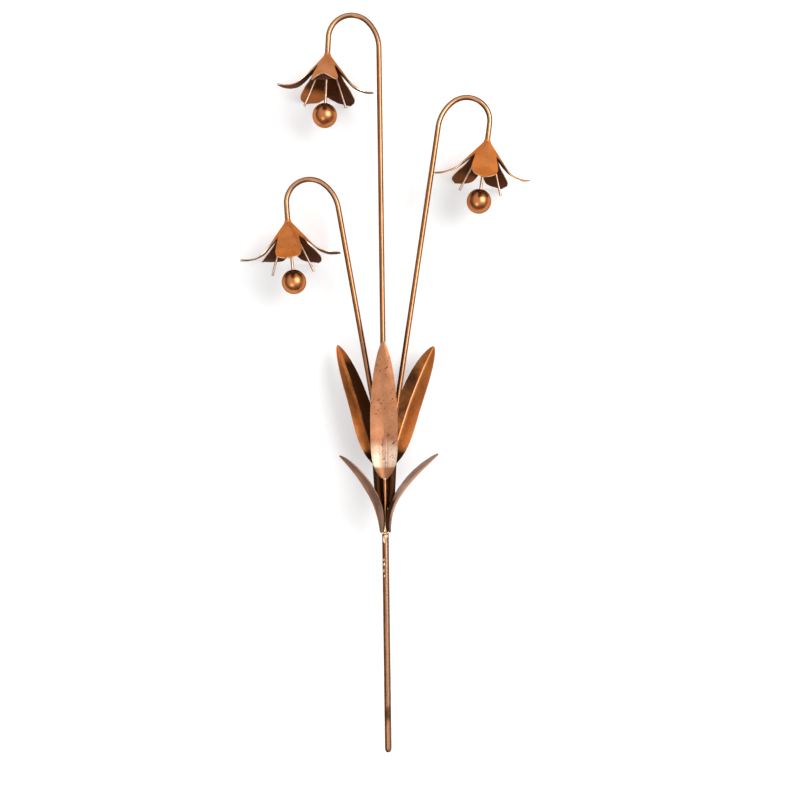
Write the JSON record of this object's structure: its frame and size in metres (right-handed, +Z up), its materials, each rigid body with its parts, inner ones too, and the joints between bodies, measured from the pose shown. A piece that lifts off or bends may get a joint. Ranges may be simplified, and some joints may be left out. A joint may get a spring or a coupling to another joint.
{
  "type": "garden stake",
  "caption": "Copper garden stake with crook stems that carry nodding bell flowers with swinging ball clappers over a tuft of folded sheet leaves.",
  "frame": {"origin": "centre of the flat end of the stake's nose, the lowest point of the part", "axes": "+Z up the stake, +X to the right and +Y away from the viewer as the part is seen from the front, with the front leaf towards -Y"},
  "size_m": [0.3481, 0.1175, 0.8878],
  "materials": {
    "stake": "drawn copper, dulled by handling",
    "stem": "drawn copper, bright along its length",
    "leaf": "heat-tinted copper sheet, satin",
    "bell": "heat-tinted copper sheet, satin",
    "ball": "polished dark copper",
    "wire": "drawn copper wire",
    "braze": "brazing metal, uneven"
  },
  "bodies": {
    "frame": {"stake": "stake", "stem_centre": "stem", "stem_right": "stem", "stem_left": "stem", "leaf_front": "leaf", "leaf_upper_left": "leaf", "leaf_upper_right": "leaf", "leaf_lower_left": "leaf", "leaf_lower_right": "leaf", "bell_centre": "bell", "bell_right": "bell", "bell_left": "bell", "staple_centre": "wire", "stamen_left_centre": "wire", "stamen_right_centre": "wire", "staple_right": "wire", "stamen_left_right": "wire", "stamen_right_right": "wire", "staple_left": "wire", "stamen_left_left": "wire", "stamen_right_left": "wire", "collar": "braze", "seat_centre": "braze", "seat_right": "braze", "seat_left": "braze"},
    "clapper_centre": {"clapper_rod_centre": "wire", "clapper_ball_centre": "ball"},
    "clapper_right": {"clapper_rod_right": "wire", "clapper_ball_right": "ball"},
    "clapper_left": {"clapper_rod_left": "wire", "clapper_ball_left": "ball"}
  },
  "joints": [
    {"name": "clapper_centre_swing", "type": "hinge", "parent": "frame", "child": "clapper_centre", "pos_m": [-0.06276, 0, 0.82213], "axis": [0.9982, 0, -0.0593], "range_deg": [-44, 42]},
    {"name": "clapper_right_swing", "type": "hinge", "parent": "frame", "child": "clapper_right", "pos_m": [0.1262, 0, 0.71612], "axis": [0.9885, 0, -0.1513], "range_deg": [-39, 45]},
    {"name": "clapper_left_swing", "type": "hinge", "parent": "frame", "child": "clapper_left", "pos_m": [-0.11071, 0, 0.62291], "axis": [0.9961, 0, 0.088], "range_deg": [-41, 45]}
  ]
}
